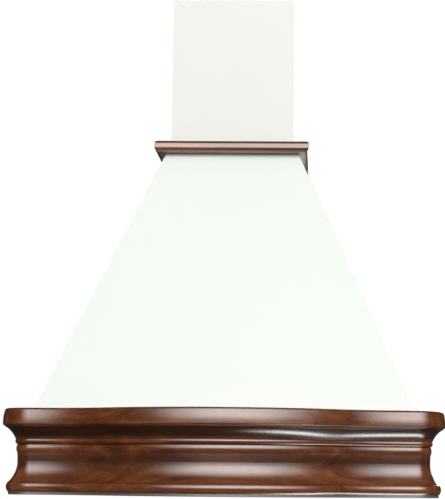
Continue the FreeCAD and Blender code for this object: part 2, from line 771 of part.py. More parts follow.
def scroll_arms():
    """Arms across one inlet that carry the motor, with its seat ring."""
    x = -SCROLL_HALF
    ring = tube(MOTOR_RADIUS + 4, MOTOR_RADIUS, V(x, FAN_Y, FAN_Z), AHEAD, 8)
    arms = [ring]
    for turn in (90, 210, 330):
        arm = box(x, x + 4, -3, 3, MOTOR_RADIUS + 2, INLET_RADIUS + 3)
        arm.rotate(V(0, 0, 0), AHEAD, turn)
        arm.translate(V(0, FAN_Y, FAN_Z))
        arms.append(arm)
    return arms


def make_motor():
    """Motor can on the scroll's arms, with the bore that its shaft turns in."""
    can = rod(MOTOR_RADIUS, V(-SCROLL_HALF, FAN_Y, FAN_Z), AHEAD, MOTOR_LENGTH)
    bore = rod(SHAFT_RADIUS + SHAFT_CLEARANCE, V(SHAFT_START - 2, FAN_Y, FAN_Z), AHEAD, MOTOR_LENGTH)
    return can.cut(bore)


def make_shaft():
    """Shaft from inside the motor to the impeller's hub."""
    return rod(SHAFT_RADIUS, V(SHAFT_START, FAN_Y, FAN_Z), AHEAD, HUB_X + HUB_LENGTH - SHAFT_START)


def make_impeller():
    """Drum of forward blades on a back disc and hub."""
    start = -IMPELLER_HALF
    length = 2 * IMPELLER_HALF
    disc = rod(IMPELLER_RADIUS, V(HUB_X, FAN_Y, FAN_Z), AHEAD, 2)
    hub = rod(HUB_RADIUS, V(HUB_X, FAN_Y, FAN_Z), AHEAD, HUB_LENGTH)
    inner = IMPELLER_RADIUS - BLADE_DEPTH
    rims = [tube(IMPELLER_RADIUS, inner, V(x, FAN_Y, FAN_Z), AHEAD, 2) for x in (start, start + length - 2)]
    blades = []
    for k in range(BLADE_COUNT):
        blade = box(start + 1, start + length - 1, -BLADE_THICKNESS / 2, BLADE_THICKNESS / 2,
                    inner + 1, IMPELLER_RADIUS - 1)
        blade.rotate(V(0, 0, 0), AHEAD, 360.0 * k / BLADE_COUNT)
        blade.translate(V(0, FAN_Y, FAN_Z))
        blades.append(blade)
    wheel = join([disc, hub] + rims + blades)
    return wheel.cut(rod(SHAFT_RADIUS, V(0, FAN_Y, FAN_Z), AHEAD, 60))


def make_spigot():
    """Round outlet collar with its foot flange, on top of the motor box."""
    length = SPIGOT_TOP - BOX_TOP
    start = V(0, OUTLET_Y, BOX_TOP)
    inner = SPIGOT_RADIUS - SPIGOT_WALL
    ring = tube(SPIGOT_RADIUS, inner, start, UP, length)
    foot = tube(SPIGOT_FLANGE, inner, start, UP, 2.0)
    spigot = join([ring, foot])
    for y in (-FLAP_OFFSET, FLAP_OFFSET):
        spigot = spigot.cut(rod(PIVOT_RADIUS, V(-SPIGOT_RADIUS - 1, OUTLET_Y + y, FLAP_Z), AHEAD, 2 * SPIGOT_RADIUS + 2))
    return spigot


def make_flap_pins():
    """Two cross pins in the spigot, one for each flap."""
    pins = []
    for y in (-FLAP_OFFSET, FLAP_OFFSET):
        pins.append(rod(PIVOT_RADIUS, V(-SPIGOT_RADIUS, OUTLET_Y + y, FLAP_Z), AHEAD, 2 * SPIGOT_RADIUS))
    return Part.makeCompound(pins)


def make_flap(side):
    """Half-round flap with its knuckle round its pin; side is -1 at the front, 1 at the wall."""
    inner = SPIGOT_RADIUS - SPIGOT_WALL - FLAP_PLAY
    pin_y = OUTLET_Y + side * FLAP_OFFSET
    half = SPIGOT_RADIUS - SPIGOT_WALL - 3.0
    disc = rod(inner, V(0, OUTLET_Y, FLAP_Z - FLAP_THICKNESS / 2), UP, FLAP_THICKNESS)
    edge = side * (FLAP_OFFSET)
    y0, y1 = sorted((OUTLET_Y + edge, OUTLET_Y + side * (SPIGOT_RADIUS + 5)))
    leaf = disc.common(box(-inner, inner, y0, y1, FLAP_Z - 5, FLAP_Z + 5))
    leaf = leaf.cut(box(-inner - 1, -half, pin_y - 6, pin_y + 6, FLAP_Z - 5, FLAP_Z + 5))
    leaf = leaf.cut(box(half, inner + 1, pin_y - 6, pin_y + 6, FLAP_Z - 5, FLAP_Z + 5))
    knuckle = rod(PIVOT_RADIUS + 1.4, V(-half, pin_y, FLAP_Z), AHEAD, 2 * half)
    flap = join([leaf, knuckle])
    return flap.cut(rod(PIVOT_RADIUS + PIVOT_CLEARANCE, V(-half - 1, pin_y, FLAP_Z), AHEAD, 2 * half + 2))


# ---- filters ----

def filter_span(side):
    """Low and high x of the left (-1) or right (1) filter."""
    low = FILTER_GAP / 2
    high = FILTER_HALF_SPAN - FILTER_GAP
    return (low, high) if side > 0 else (-high, -low)


def latch_middle(side):
    """Middle of a filter's front edge, where its latch sits."""
    x0, x1 = filter_span(side)
    return (x0 + x1) / 2, -FILTER_FRONT + FILTER_GAP


def make_filter_frame(side):
    """Pressed frame with the bore for the hinge rod and the slot for the latch."""
    x0, x1 = filter_span(side)
    y0 = -FILTER_FRONT + FILTER_GAP
    y1 = -FILTER_BACK - FILTER_BACK_GAP
    z0 = -TRAY_SHEET
    z1 = z0 + FILTER_FRAME
    edge = FILTER_EDGE
    frame = box(x0, x1, y0, y1, z0, z1)
    frame = frame.cut(box(x0 + edge, x1 - edge, y0 + edge + 4, y1 - edge, z0 - 1, z1 + 1))
    bore = rod(FILTER_ROD_RADIUS + FILTER_ROD_CLEARANCE, V(x0 - 1, FILTER_AXIS_Y, FILTER_AXIS_Z), AHEAD, x1 - x0 + 2)
    mid, front = latch_middle(side)
    half = LATCH_STEM_HALF + LATCH_PLAY
    slot_front = front + 2 * LATCH_PLAY + 2.0
    slot_back = slot_front + LATCH_STEM_DEPTH + LATCH_TRAVEL + 2 * LATCH_PLAY
    slot = box(mid - half, mid + half, slot_front, slot_back, z0 - 1, z1 + 1)
    return frame.cut(bore).cut(slot)


def make_filter_mesh(side):
    """Mesh sheet that fills the frame."""
    x0, x1 = filter_span(side)
    edge = FILTER_EDGE
    y0 = -FILTER_FRONT + FILTER_GAP + edge + 4
    y1 = -FILTER_BACK - FILTER_BACK_GAP - edge
    z0 = -TRAY_SHEET + MESH_INSET
    return box(x0 + edge, x1 - edge, y0, y1, z0, z0 + MESH_THICKNESS)


def make_filter_latch(side):
    """Sliding latch: grip below the frame, stem through the slot, tongue above."""
    mid, front = latch_middle(side)
    z0 = -TRAY_SHEET
    z1 = z0 + FILTER_FRAME
    stem_front = front + 3 * LATCH_PLAY + 2.0
    grip = box(mid - LATCH_HALF, mid + LATCH_HALF, front + 1, front + 1 + LATCH_DEPTH,
               z0 - LATCH_PLAY - LATCH_GRIP, z0 - LATCH_PLAY)
    upright = [edge for edge in grip.Edges if edge.BoundBox.ZMax - edge.BoundBox.ZMin > 1]
    grip = grip.makeFillet(4.0, upright)
    hollow = box(mid - LATCH_HALF + 5, mid + LATCH_HALF - 5, front + 1 + 11, front + LATCH_DEPTH - 3,
                 z0 - LATCH_PLAY - LATCH_GRIP - 1, z0 - LATCH_PLAY - 1.5)
    stem = box(mid - LATCH_STEM_HALF, mid + LATCH_STEM_HALF, stem_front, stem_front + LATCH_STEM_DEPTH,
               z0 - LATCH_PLAY, z1 + LATCH_PLAY)
    tongue = box(mid - LATCH_STEM_HALF, mid + LATCH_STEM_HALF, front - LATCH_PLAY, stem_front + LATCH_STEM_DEPTH,
                 z1 + LATCH_PLAY, z1 + LATCH_PLAY + LATCH_TONGUE)
    return join([grip.cut(hollow), stem, tongue])


def make_filter_rod():
    """Rod across the plenum that both filters hang on."""
    half = FILTER_HALF_SPAN + TRAY_SHEET
    return rod(FILTER_ROD_RADIUS, V(-half, FILTER_AXIS_Y, FILTER_AXIS_Z), AHEAD, 2 * half)


# ---- lamps, controls and terminal box ----

def both_sides(shape):
    """The same piece at the left and at the right, as one group."""
    return Part.makeCompound([mirrored(shape), shape])


def make_lamp_housings():
    """Closed cans over the lamp holes."""
    start = V(LAMP_X, LAMP_Y, -TRAY_SHEET)
    can = rod(LAMP_RADIUS, start, UP, LAMP_HEIGHT)
    can = can.cut(rod(LAMP_RADIUS - STEEL, start, UP, LAMP_HEIGHT - STEEL))
    return both_sides(can)


def make_lamp_bezels():
    """Trim rings under the tray."""
    ring = tube(LAMP_BEZEL, LAMP_RADIUS - 5, V(LAMP_X, LAMP_Y, -TRAY_SHEET - 2), UP, 2.0)
    low = ring.BoundBox.ZMin
    wide = 2 * LAMP_RADIUS
    outer = [edge for edge in ring.Edges if edge.BoundBox.ZMax < low + 0.1 and edge.BoundBox.XLength > wide]
    return both_sides(ring.makeFillet(1.2, outer))


def make_lamp_lenses():
    """Glass discs that lie on the trim rings."""
    return both_sides(rod(LAMP_RADIUS - STEEL, V(LAMP_X, LAMP_Y, -TRAY_SHEET), UP, LENS_THICKNESS))


def button_places():
    """x of each push button."""
    return [BUTTON_PITCH * (k - 1.5) for k in range(4)]


def make_control_panel():
    """Panel under the tray with its switch body above and a well for each button."""
    half = PANEL_HALF
    depth = PANEL_DEPTH / 2
    foot = -TRAY_SHEET - 2
    plate = box(-half, half, PANEL_Y - depth, PANEL_Y + depth, foot, -TRAY_SHEET)
    upright = [edge for edge in plate.Edges if edge.BoundBox.ZMax - edge.BoundBox.ZMin > 1]
    plate = plate.makeFillet(4.0, upright)
    ledge = PANEL_LEDGE
    body = box(-half + ledge, half - ledge, PANEL_Y - depth + ledge, PANEL_Y + depth - ledge,
               -TRAY_SHEET, PANEL_HEIGHT)
    panel = join([plate, body])
    for x in button_places():
        well = rod(BUTTON_RADIUS + BUTTON_CLEARANCE, V(x, PANEL_Y, foot - 1), UP, PANEL_HEIGHT - foot - 1)
        panel = panel.cut(well)
    return panel


def make_button(x):
    """Round push button with an eased rim."""
    foot = -TRAY_SHEET - 2 - BUTTON_PROUD
    button = rod(BUTTON_RADIUS, V(x, PANEL_Y, foot), UP, 10.0)
    rim = [edge for edge in button.Edges if edge.BoundBox.ZMax < foot + 0.1]
    return button.makeFillet(1.0, rim)


def make_terminal_box():
    """Box for the mains terminals, on top of the plenum, with the hole for its gland."""
    size = TERMINAL_SIZE
    w = TERMINAL_WALL
    x0 = BOX_HALF + TERMINAL_GAP
    y0 = -FILTER_FRONT + TERMINAL_SETBACK
    z0 = PLENUM_TOP
    body = box(x0, x0 + size.x, y0, y0 + size.y, z0, z0 + size.z)
    room = box(x0 + w, x0 + size.x - w, y0 + w, y0 + size.y - w, z0 + w, z0 + size.z - w)
    seat = V(x0 + size.x / 2, y0 + size.y - 2 * w, z0 + size.z / 2)
    return body.cut(room).cut(rod(GLAND_RADIUS, seat, WALLWARD, 4 * w))


def make_cable_gland():
    """Gland in the terminal box, with the bore for a mains cord."""
    size = TERMINAL_SIZE
    w = TERMINAL_WALL
    y = -FILTER_FRONT + TERMINAL_SETBACK + size.y
    seat = V(BOX_HALF + TERMINAL_GAP + size.x / 2, y - w, PLENUM_TOP + size.z / 2)
    body = rod(GLAND_RADIUS, seat, WALLWARD, GLAND_LENGTH)
    nut = rod(GLAND_RADIUS + 3, seat + V(0, w, 0), WALLWARD, GLAND_LENGTH / 3)
    return join([body, nut]).cut(rod(GLAND_BORE, seat - V(0, 1, 0), WALLWARD, GLAND_LENGTH + 2))


# ---- the whole ----

def write_woodwork():
    """Band, rail, blocks and collar."""
    for side, piece in zip(("front", "left", "right"), make_lip()):
        save("lip_" + side, dome_screw_holes(piece))
    for side, piece in zip(("front", "left", "right"), moulding(bed_profile())):
        save("bed_mould_" + side, piece)
    for side, piece in zip(("front", "left", "right"), moulding(base_profile())):
        save("base_mould_" + side, pilot_holes(piece))
    for side, piece in zip(("front", "left", "right"), make_collar()):
        save("collar_" + side, piece)
    save("corner_blocks", make_corner_blocks())
    save("rear_rail", make_rear_rail())


def write_steelwork():
    """Dome, chimney, wall fittings and screws."""
    for side, piece in zip(("front", "left", "right"), make_dome()):
        save("dome_" + side, dome_screw_holes(piece))
    save("dome_seams", make_dome_seams())
    lower, upper = make_chimney()
    save("chimney_lower", lower)
    save("chimney_upper", upper)
    save("chimney_bracket", make_chimney_bracket())
    save("wall_frame", make_wall_frame())
    save("hang_straps", make_hang_strap())
    save("dome_screws", make_dome_screws())
    save("tray_screws", make_tray_screws())


def write_extractor():
    """Tray, plenum, motor box and fan."""
    save("under_tray", make_tray())
    save("plenum", make_plenum())
    save("motor_box", make_motor_box())
    save("fan_scroll", make_scroll())
    save("fan_motor", make_motor())
    save("fan_shaft", make_shaft())
    save("fan_impeller", make_impeller())
    save("outlet_spigot", make_spigot())
    save("flap_pins", make_flap_pins())
    save("flap_front", make_flap(-1))
    save("flap_rear", make_flap(1))


def write_fittings():
    """Filters, lamps, controls and terminal box."""
    for side, name in ((-1, "left"), (1, "right")):
        save("filter_frame_" + name, make_filter_frame(side))
        save("filter_mesh_" + name, make_filter_mesh(side))
        save("filter_latch_" + name, make_filter_latch(side))
    save("filter_rod", make_filter_rod())
    save("lamp_housings", make_lamp_housings())
    save("lamp_bezels", make_lamp_bezels())
    save("lamp_lenses", make_lamp_lenses())
    save("control_panel", make_control_panel())
    for name, x in zip(("off", "low", "high", "lamp"), button_places()):
        save("button_" + name, make_button(x))
    save("terminal_box", make_terminal_box())
    save("cable_gland", make_cable_gland())


os.makedirs("parts", exist_ok=True)
write_woodwork()
write_steelwork()
write_extractor()
write_fittings()
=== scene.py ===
import json
import math
import bmesh
import bpy
from mathutils import Matrix, Vector


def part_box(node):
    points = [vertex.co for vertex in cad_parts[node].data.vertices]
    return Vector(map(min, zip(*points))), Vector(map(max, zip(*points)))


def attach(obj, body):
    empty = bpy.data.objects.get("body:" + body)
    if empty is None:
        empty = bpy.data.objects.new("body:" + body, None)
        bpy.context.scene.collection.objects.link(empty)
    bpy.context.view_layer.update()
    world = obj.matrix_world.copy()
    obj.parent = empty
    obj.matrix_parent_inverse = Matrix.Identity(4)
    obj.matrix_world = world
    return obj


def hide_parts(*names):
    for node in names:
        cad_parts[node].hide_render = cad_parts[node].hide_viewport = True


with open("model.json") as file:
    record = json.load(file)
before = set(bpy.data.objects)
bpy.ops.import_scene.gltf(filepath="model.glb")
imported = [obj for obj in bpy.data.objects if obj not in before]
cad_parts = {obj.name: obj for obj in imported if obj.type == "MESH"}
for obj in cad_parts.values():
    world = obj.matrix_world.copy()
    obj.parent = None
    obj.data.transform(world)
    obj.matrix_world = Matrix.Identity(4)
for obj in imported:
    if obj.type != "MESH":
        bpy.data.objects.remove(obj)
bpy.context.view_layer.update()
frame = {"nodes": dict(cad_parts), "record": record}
scene = bpy.context.scene

# ---- camera: the photograph's place and framing ----
FRAME_HEIGHT = 499
SENSOR_HEIGHT = 36.0
FOCAL_PIXELS = 1483.0
CAMERA_PLACE = (0.200, -3.450, 0.0327)
CAMERA_YAW = math.radians(0.953)
CAMERA_PITCH = math.radians(5.812)
CAMERA_ROLL = math.radians(0.500)
SHIFT_X = -0.1495
SHIFT_Y = 0.155
VIEW_END = 60.0


def set_camera():
    """A level camera, turned, pitched and rolled, with the photograph's shift."""
    data = bpy.data.cameras.new("camera")
    data.sensor_fit = "VERTICAL"
    data.sensor_height = SENSOR_HEIGHT
    data.lens = FOCAL_PIXELS * SENSOR_HEIGHT / FRAME_HEIGHT
    data.shift_x = SHIFT_X
    data.shift_y = SHIFT_Y
    data.clip_end = VIEW_END
    level = math.cos(CAMERA_PITCH)
    forward = Vector((-math.sin(CAMERA_YAW) * level, math.cos(CAMERA_YAW) * level, math.sin(CAMERA_PITCH)))
    right = Vector((math.cos(CAMERA_YAW), math.sin(CAMERA_YAW), 0))
    up = right.cross(forward)
    c, s = math.cos(CAMERA_ROLL), math.sin(CAMERA_ROLL)
    x_axis = c * right + s * up
    y_axis = c * up - s * right
    camera = bpy.data.objects.new("camera", data)
    turn = Matrix((x_axis, y_axis, -forward)).transposed().to_4x4()
    camera.matrix_world = Matrix.Translation(CAMERA_PLACE) @ turn
    scene.collection.objects.link(camera)
    scene.camera = camera


# ---- node helpers ----
class Nodes:
    """A material's node tree with short calls."""

    def __init__(self, name):
        self.material = bpy.data.materials.new(name)
        self.material.use_nodes = True
        self.tree = self.material.node_tree
        self.tree.nodes.clear()
        self.output = self.tree.nodes.new("ShaderNodeOutputMaterial")
        self.shader = None

    def add(self, kind, **fields):
        node = self.tree.nodes.new(kind)
        for key, value in fields.items():
            setattr(node, key, value)
        return node

    def put(self, node, socket, value):
        if hasattr(value, "is_output"):
            self.tree.links.new(value, node.inputs[socket])
        else:
            node.inputs[socket].default_value = value

    def principled(self, **values):
        self.shader = self.add("ShaderNodeBsdfPrincipled")
        for key, value in values.items():
            self.put(self.shader, key.replace("_", " "), value)
        self.tree.links.new(self.shader.outputs[0], self.output.inputs[0])

    def coordinates(self, scale=(1, 1, 1)):
        source = self.add("ShaderNodeTexCoord")
        mapping = self.add("ShaderNodeMapping")
        mapping.inputs["Scale"].default_value = scale
        self.tree.links.new(source.outputs["Object"], mapping.inputs["Vector"])
        return mapping.outputs[0]

    def noise(self, vector, scale, detail=4.0, rough=0.5, distortion=0.0):
        node = self.add("ShaderNodeTexNoise")
        self.put(node, "Vector", vector)
        self.put(node, "Scale", scale)
        self.put(node, "Detail", detail)
        self.put(node, "Roughness", rough)
        self.put(node, "Distortion", distortion)
        return node.outputs["Fac"]

    def cells(self, vector, scale):
        """The distance and the colour of a cell pattern."""
        node = self.add("ShaderNodeTexVoronoi")
        self.put(node, "Vector", vector)
        self.put(node, "Scale", scale)
        return node.outputs["Distance"], node.outputs["Color"]

    def ramp(self, factor, stops):
        node = self.add("ShaderNodeValToRGB")
        self.put(node, "Fac", factor)
        elements = node.color_ramp.elements
        while len(elements) < len(stops):
            elements.new(0.5)
        for element, (place, colour) in zip(elements, stops):
            element.position = place
            element.color = (*colour, 1.0)
        return node.outputs[0]

    def span(self, factor, low, high, to_low, to_high):
        node = self.add("ShaderNodeMapRange")
        self.put(node, "Value", factor)
        self.put(node, "From Min", low)
        self.put(node, "From Max", high)
        self.put(node, "To Min", to_low)
        self.put(node, "To Max", to_high)
        return node.outputs[0]

    def math(self, operation, a, b):
        node = self.add("ShaderNodeMath", operation=operation)
        self.put(node, 0, a)
        self.put(node, 1, b)
        return node.outputs[0]

    def mix(self, factor, a, b, blend="MIX"):
        node = self.add("ShaderNodeMix", data_type="RGBA", blend_type=blend)
        self.put(node, "Factor", factor)
        self.put(node, 6, a)
        self.put(node, 7, b)
        return node.outputs[2]

    def band(self, value, low, high, soft):
        """One between two levels of a value, fading to zero outside."""
        rise = self.span(value, low - soft, low + soft, 0.0, 1.0)
        fall = self.span(value, high - soft, high + soft, 1.0, 0.0)
        return self.math("MULTIPLY", rise, fall)

    def painted_shade_in_coves(self):
        """Painted shade: how strongly the wood is darkened under the lip, in the grooves of the mouldings
        and high in the big cove, where shade falls.
        """
        source = self.add("ShaderNodeTexCoord")
        parts = self.add("ShaderNodeSeparateXYZ")
        self.tree.links.new(source.outputs["Object"], parts.inputs[0])
        total = None
        for low, high, soft, strength in PAINTED_SHADE_LEVELS:
            level = self.math("MULTIPLY", self.band(parts.outputs[2], low, high, soft), strength)
            total = level if total is None else self.math("MAXIMUM", total, level)
        return total

    def bump(self, height, strength, distance):
        node = self.add("ShaderNodeBump")
        self.put(node, "Height", height)
        node.inputs["Strength"].default_value = strength
        node.inputs["Distance"].default_value = distance
        self.tree.links.new(node.outputs[0], self.shader.inputs["Normal"])


def srgb(r, g, b):
    """A colour given as 0-255 display values."""
    out = []
    for value in (r, g, b):
        c = value / 255.0
        out.append(c / 12.92 if c <= 0.04045 else ((c + 0.055) / 1.055) ** 2.4)
    return tuple(out)


def rgba(r, g, b):
    """The same with a full alpha."""
    return (*srgb(r, g, b), 1.0)


def along_axis(axis, across, length):
    """Texture scales that stretch a pattern along one axis."""
    scales = [across, across, across]
    scales["xyz".index(axis)] = length
    return tuple(scales)


# ---- materials ----
# Heights in metres of the painted shade under the lip, in the grooves and high in the big cove, the
# softness of their edges and the strength of the painted shade there.
PAINTED_SHADE_LEVELS = (
    (0.1110, 0.1340, 0.0040, 0.80),
    (0.0955, 0.0975, 0.0010, 0.70),
    (0.0560, 0.0790, 0.0090, 0.62),
    (0.0185, 0.0200, 0.0010, 0.50),
)


def wood_material(name, along):
    """Stained hardwood under gloss lacquer, with its grain along one axis."""
    n = Nodes(name)
    long_place = n.coordinates(along_axis(along, 34.0, 2.2))
    fine_place = n.coordinates(along_axis(along, 420.0, 14.0))
    figure = n.noise(long_place, 1.0, 4.0, 0.55, 0.9)
    fibre = n.noise(fine_place, 1.0, 3.0, 0.6)
    cloud = n.noise(n.coordinates(), 5.0, 2.0, 0.5, 0.4)
    dark = srgb(80, 38, 17)
    middle = srgb(107, 56, 27)
    light = srgb(134, 80, 42)
    colour = n.ramp(figure, [(0.30, dark), (0.50, middle), (0.72, light)])
    streak_stops = [(0.34, (0.62, 0.58, 0.55)), (0.52, (1.0, 1.0, 1.0)), (0.75, (1.08, 1.08, 1.08))]
    streak = n.ramp(fibre, streak_stops)
    colour = n.mix(0.7, colour, streak, "MULTIPLY")
    stain = n.ramp(cloud, [(0.35, (0.72, 0.66, 0.62)), (0.6, (1.0, 1.0, 1.0))])
    colour = n.mix(0.45, colour, stain, "MULTIPLY")
    painted_cove_shade = n.painted_shade_in_coves()
    # Painted shade: the wood is darkened towards a near-black brown in the coves and grooves at these
    # heights.
    colour = n.mix(painted_cove_shade, colour, rgba(30, 12, 6))
    rough = n.span(fibre, 0.3, 0.7, 0.36, 0.50)
    n.principled(
        Base_Color=colour, Roughness=rough, IOR=1.45, Specular_IOR_Level=0.08,
        Coat_Weight=1.0, Coat_Roughness=0.21, Coat_IOR=1.75,
    )
    n.bump(fibre, 0.10, 0.0003)
    return n.material


def plain_wood_material(name, along):
    """Unfinished softwood of the hidden parts."""
    n = Nodes(name)
    place = n.coordinates(along_axis(along, 30.0, 1.2))
    rings = n.noise(place, 1.0, 4.0, 0.6, 0.8)
    fibre = n.noise(place, 9.0, 2.0, 0.6)
    tones = [(0.35, srgb(178, 138, 96)), (0.55, srgb(202, 165, 121)), (0.7, srgb(214, 182, 140))]
    colour = n.ramp(rings, tones)
    rough = n.span(fibre, 0.3, 0.7, 0.55, 0.75)
    n.principled(Base_Color=colour, Roughness=rough)
    n.bump(fibre, 0.4, 0.0006)
    return n.material


def paint_material(name, low, high):
    """White powder coat with a fine orange peel and a few darker specks."""
    n = Nodes(name)
    place = n.coordinates()
    peel = n.noise(place, 420.0, 2.0, 0.5)
    wave = n.noise(place, 3.0, 2.0, 0.5)
    speck, _ = n.cells(place, 330.0)
    tone = n.ramp(wave, [(0.3, srgb(*low)), (0.7, srgb(*high))])
    mark = n.span(speck, 0.04, 0.16, 0.30, 0.0)
    colour = n.mix(mark, tone, rgba(226, 230, 224))
    rough = n.span(peel, 0.3, 0.7, 0.42, 0.54)
    n.principled(Base_Color=colour, Roughness=rough, IOR=1.45, Specular_IOR_Level=0.25)
    n.bump(peel, 0.10, 0.0003)
    return n.material


def zinc_material(name):
    """Galvanised sheet with its spangle."""
    n = Nodes(name)
    place = n.coordinates()
    _, spangle = n.cells(place, 90.0)
    tone = n.add("ShaderNodeSeparateColor")
    n.put(tone, 0, spangle)
    fine = n.noise(place, 260.0, 3.0, 0.6)
    greys = [(0.0, srgb(150, 154, 156)), (0.5, srgb(172, 176, 177)), (1.0, srgb(192, 195, 195))]
    colour = n.ramp(tone.outputs[0], greys)
    rough = n.span(tone.outputs[1], 0.0, 1.0, 0.34, 0.52)
    n.principled(Base_Color=colour, Metallic=0.9, Roughness=rough)
    n.bump(fine, 0.1, 0.0002)
    return n.material


def brushed_material(name, colour_low, colour_high, along="x", rough=(0.3, 0.42), metallic=1.0):
    """Metal with fine brush lines along one axis."""
    n = Nodes(name)
    place = n.coordinates(along_axis(along, 900.0, 12.0))
    lines = n.noise(place, 1.0, 3.0, 0.6)
    cloud = n.noise(n.coordinates(), 6.0, 2.0, 0.5)
    colour = n.ramp(cloud, [(0.3, colour_low), (0.7, colour_high)])
    roughness = n.span(lines, 0.3, 0.7, rough[0], rough[1])
    n.principled(Base_Color=colour, Metallic=metallic, Roughness=roughness)
    n.bump(lines, 0.12, 0.0002)
    return n.material


def plastic_material(name, low, high, rough=(0.42, 0.55)):
    """Moulded plastic with a fine spark-eroded grain."""
    n = Nodes(name)
    place = n.coordinates()
    cell = n.noise(place, 520.0, 2.0, 0.6)
    cloud = n.noise(place, 14.0, 2.0, 0.5)
    colour = n.ramp(cloud, [(0.3, low), (0.7, high)])
    roughness = n.span(cell, 0.3, 0.7, rough[0], rough[1])
    n.principled(Base_Color=colour, Roughness=roughness)
    n.bump(cell, 0.18, 0.0002)
    return n.material


def glass_material(name):
    """Frosted lamp glass with a faint frost in its surface."""
    n = Nodes(name)
    place = n.coordinates()
    frost = n.noise(place, 700.0, 2.0, 0.5)
    rough = n.span(frost, 0.3, 0.7, 0.22, 0.36)
    tone = n.ramp(frost, [(0.3, srgb(232, 236, 238)), (0.7, srgb(246, 248, 249))])
    n.principled(Base_Color=tone, Roughness=rough, Transmission_Weight=0.55, IOR=1.49)
    n.bump(frost, 0.15, 0.0002)
    return n.material


def floor_material():
    """Pale floor that shows only from above, so that the underside can be looked at."""
    n = Nodes("studio_floor")
    cloud = n.noise(n.coordinates(), 2.0, 2.0, 0.5)
    tone = n.ramp(cloud, [(0.3, (0.80, 0.80, 0.80)), (0.7, (0.82, 0.82, 0.82))])
    white = (1.0, 1.0, 1.0, 1.0)
    n.principled(Base_Color=tone, Roughness=0.9, Emission_Color=white, Emission_Strength=FLOOR_GLOW)
    clear = n.add("ShaderNodeBsdfTransparent")
    side = n.add("ShaderNodeNewGeometry")
    choice = n.add("ShaderNodeMixShader")
    n.tree.links.new(side.outputs["Backfacing"], choice.inputs[0])
    n.tree.links.new(n.shader.outputs[0], choice.inputs[1])
    n.tree.links.new(clear.outputs[0], choice.inputs[2])
    n.tree.links.new(choice.outputs[0], n.output.inputs[0])
    return n.material


def dress_nodes():
    """Gives each node its material, then adds the detail pieces."""
    wood_x = wood_material("wood_front", "x")
    wood_y = wood_material("wood_side", "y")
    plain_x = plain_wood_material("plain_wood_rail", "x")
    plain_z = plain_wood_material("plain_wood_block", "z")
    paint = paint_material("powder_coat_dome", (238, 244, 238), (241, 246, 240))
    # Painted shade: the chimney gets a darker copy of the dome's white powder coat, for the less light
    # that falls on the upright chimney.
    painted_shade_flue = paint_material("powder_coat_flue_painted_shade", (233, 234, 229), (237, 238, 232))
    zinc = zinc_material("zinc_sheet")
    tray = brushed_material("tray_sheet", srgb(118, 118, 118), srgb(128, 128, 128), "x", (0.38, 0.5), 0.7)
    dark = plastic_material("dark_plastic", srgb(38, 39, 41), srgb(48, 49, 51))
    filter_metal = brushed_material("filter_metal", srgb(176, 179, 181), srgb(196, 198, 199), "y")
    latch = plastic_material("latch_plastic", srgb(58, 60, 63), srgb(70, 72, 75))
    chrome = brushed_material("chrome_ring", srgb(196, 197, 199), srgb(208, 209, 210), "x", (0.12, 0.2))
    glass = glass_material("lamp_glass")
    button = plastic_material("button_plastic", srgb(150, 152, 155), srgb(166, 168, 170), (0.3, 0.4))
    by_slot = {
        "plain_wood": plain_x, "white_paint": paint, "zinc_steel": zinc, "tray_steel": tray,
        "dark_plastic": dark, "filter_aluminium": filter_metal, "latch_plastic": latch,
        "chrome_trim": chrome, "lamp_glass": glass, "button_plastic": button,
    }
    slots = {row["node"]: row["material_slot"] for row in frame["record"]["subparts"]}
    for name, thing in frame["nodes"].items():
        slot = slots.get(name)
        if name == "corner_blocks":
            material = plain_z
        elif name.startswith("chimney_"):
            material = painted_shade_flue
        elif slot == "lacquered_wood":
            material = wood_y if name.endswith(("_left", "_right")) else wood_x
        else:
            material = by_slot.get(slot, dark)
        thing.data.materials.clear()
        thing.data.materials.append(material)
    for side in ("left", "right"):
        add_filter_weave(side, filter_metal)
    chip = plastic_material("diode_resin", srgb(236, 214, 132), srgb(246, 228, 158), (0.2, 0.3))
    add_lamp_boards(paint, chip)
    add_tray_screw_heads(zinc)


# ---- detail pieces ----
STRAND_RISE = 0.0042
STRAND_STEP = 0.0036
STRAND_WIDTH = 0.0009
STRAND_THICK = 0.0004
STRAND_LEAN = 0.00012
BOARD_RISE = 0.012
BOARD_THICK = 0.0012
BOARD_CROWN = 0.0016
BOARD_SHARE = 0.86
DIODES_IN_RING = 8
DIODE_RING_SHARE = 0.55
DIODE_RADIUS = 0.0022
# Share of the diode's radius, and how far under the board it lies, in metres.
DIODE_PROFILE = ((0.45, 0.0014), (0.85, 0.0010), (1.0, 0.0002), (1.0, 0.0))
DIODE_SPOKES = 12
SCREW_SPACING = 0.012
SCREW_COVER = 1.02
# Shares of the screw head's radius.
HEAD_CROWN = 0.40
RECESS_ARM = 0.14
RECESS_LENGTH = 0.62
RECESS_DEPTH = 0.30


def piece_from(mesh, name, material, body):
    """Turns a mesh into a piece that rides on a body."""
    data = bpy.data.meshes.new(name)
    mesh.normal_update()
    mesh.to_mesh(data)
    mesh.free()
    piece = bpy.data.objects.new(name, data)
    data.materials.append(material)
    scene.collection.objects.link(piece)
    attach(piece, body)
    return piece


def add_strand(mesh, points, lean):
    """A flat strip of metal, leaning, through a list of points."""
    half = STRAND_WIDTH / 2
    thick = STRAND_THICK / 2
    corners = ((-half, -thick - lean), (half, -thick + lean), (half, thick + lean), (-half, thick - lean))
    rings = []
    for x, y, z in points:
        rings.append([mesh.verts.new((x, y + dy, z + dz)) for dy, dz in corners])
    for a, b in zip(rings, rings[1:]):
        for k in range(4):
            m = (k + 1) % 4
            mesh.faces.new((a[k], a[m], b[m], b[k]))
    mesh.faces.new(rings[0][::-1])
    mesh.faces.new(rings[-1])


